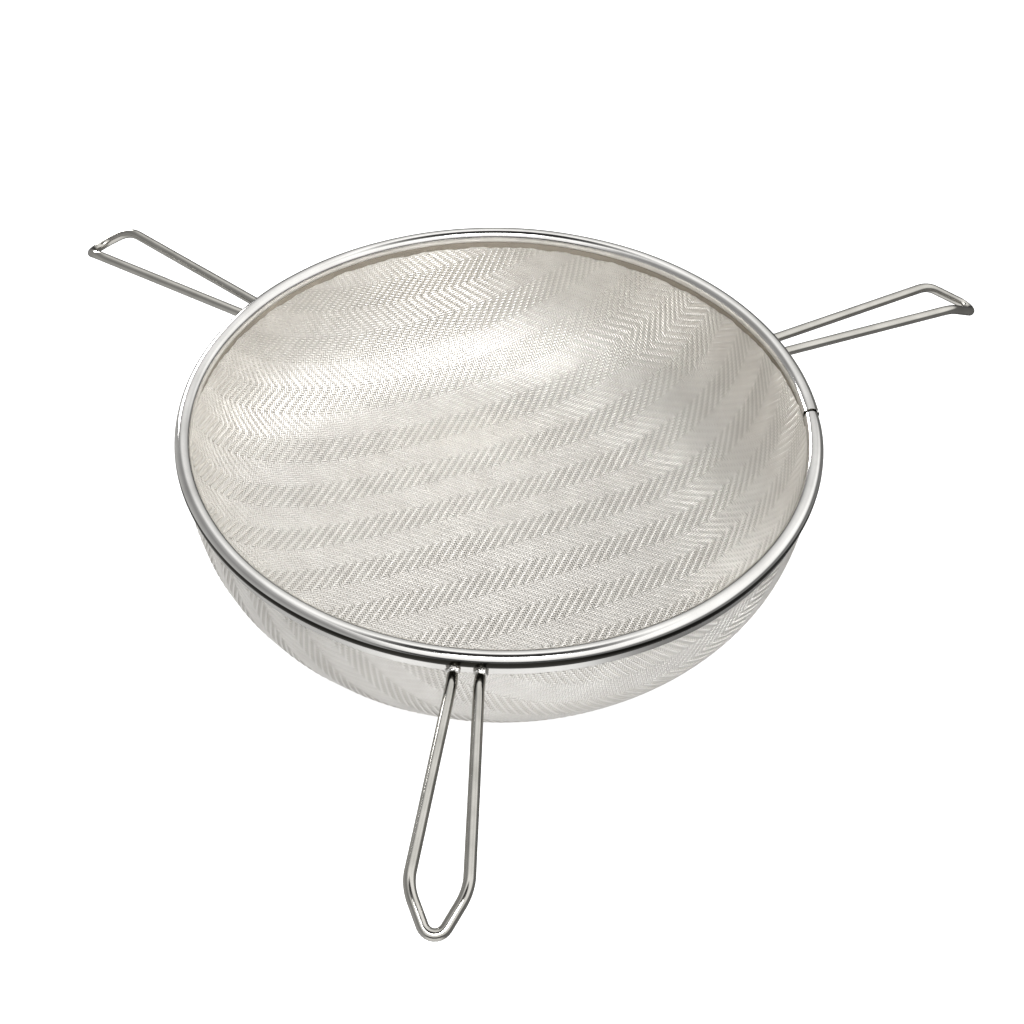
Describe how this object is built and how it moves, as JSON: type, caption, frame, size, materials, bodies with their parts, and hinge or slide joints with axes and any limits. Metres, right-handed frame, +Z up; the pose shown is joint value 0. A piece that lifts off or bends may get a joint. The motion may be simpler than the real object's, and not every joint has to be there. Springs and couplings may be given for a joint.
{
  "type": "double sieve strainer",
  "caption": "Round honey strainer: two nested mesh bowls held in one rolled steel rim, with wire loop handles that rest on a bucket.",
  "frame": {"origin": "centre of the bowl's flat bottom, on the rim's axis", "axes": "+Z up through the open rim, -Y along the front handle"},
  "size_m": [0.3749, 0.3336, 0.0731],
  "materials": {
    "fine_mesh": "herringbone twill-woven stainless wire, satin",
    "coarse_mesh": "herringbone twill-woven stainless wire, bright",
    "rim_steel": "polished stainless strip",
    "wire_steel": "drawn stainless wire, half bright",
    "weld_steel": "small weld nuggets, slightly rough"
  },
  "bodies": {
    "root": {"inner_sieve": "fine_mesh", "outer_sieve": "coarse_mesh", "rim_strip": "rim_steel", "rim_hoop": "wire_steel", "handle_front": "wire_steel", "handle_right": "wire_steel", "handle_left": "wire_steel", "handle_front_welds": "weld_steel", "handle_right_welds": "weld_steel", "handle_left_welds": "weld_steel"}
  },
  "joints": []
}
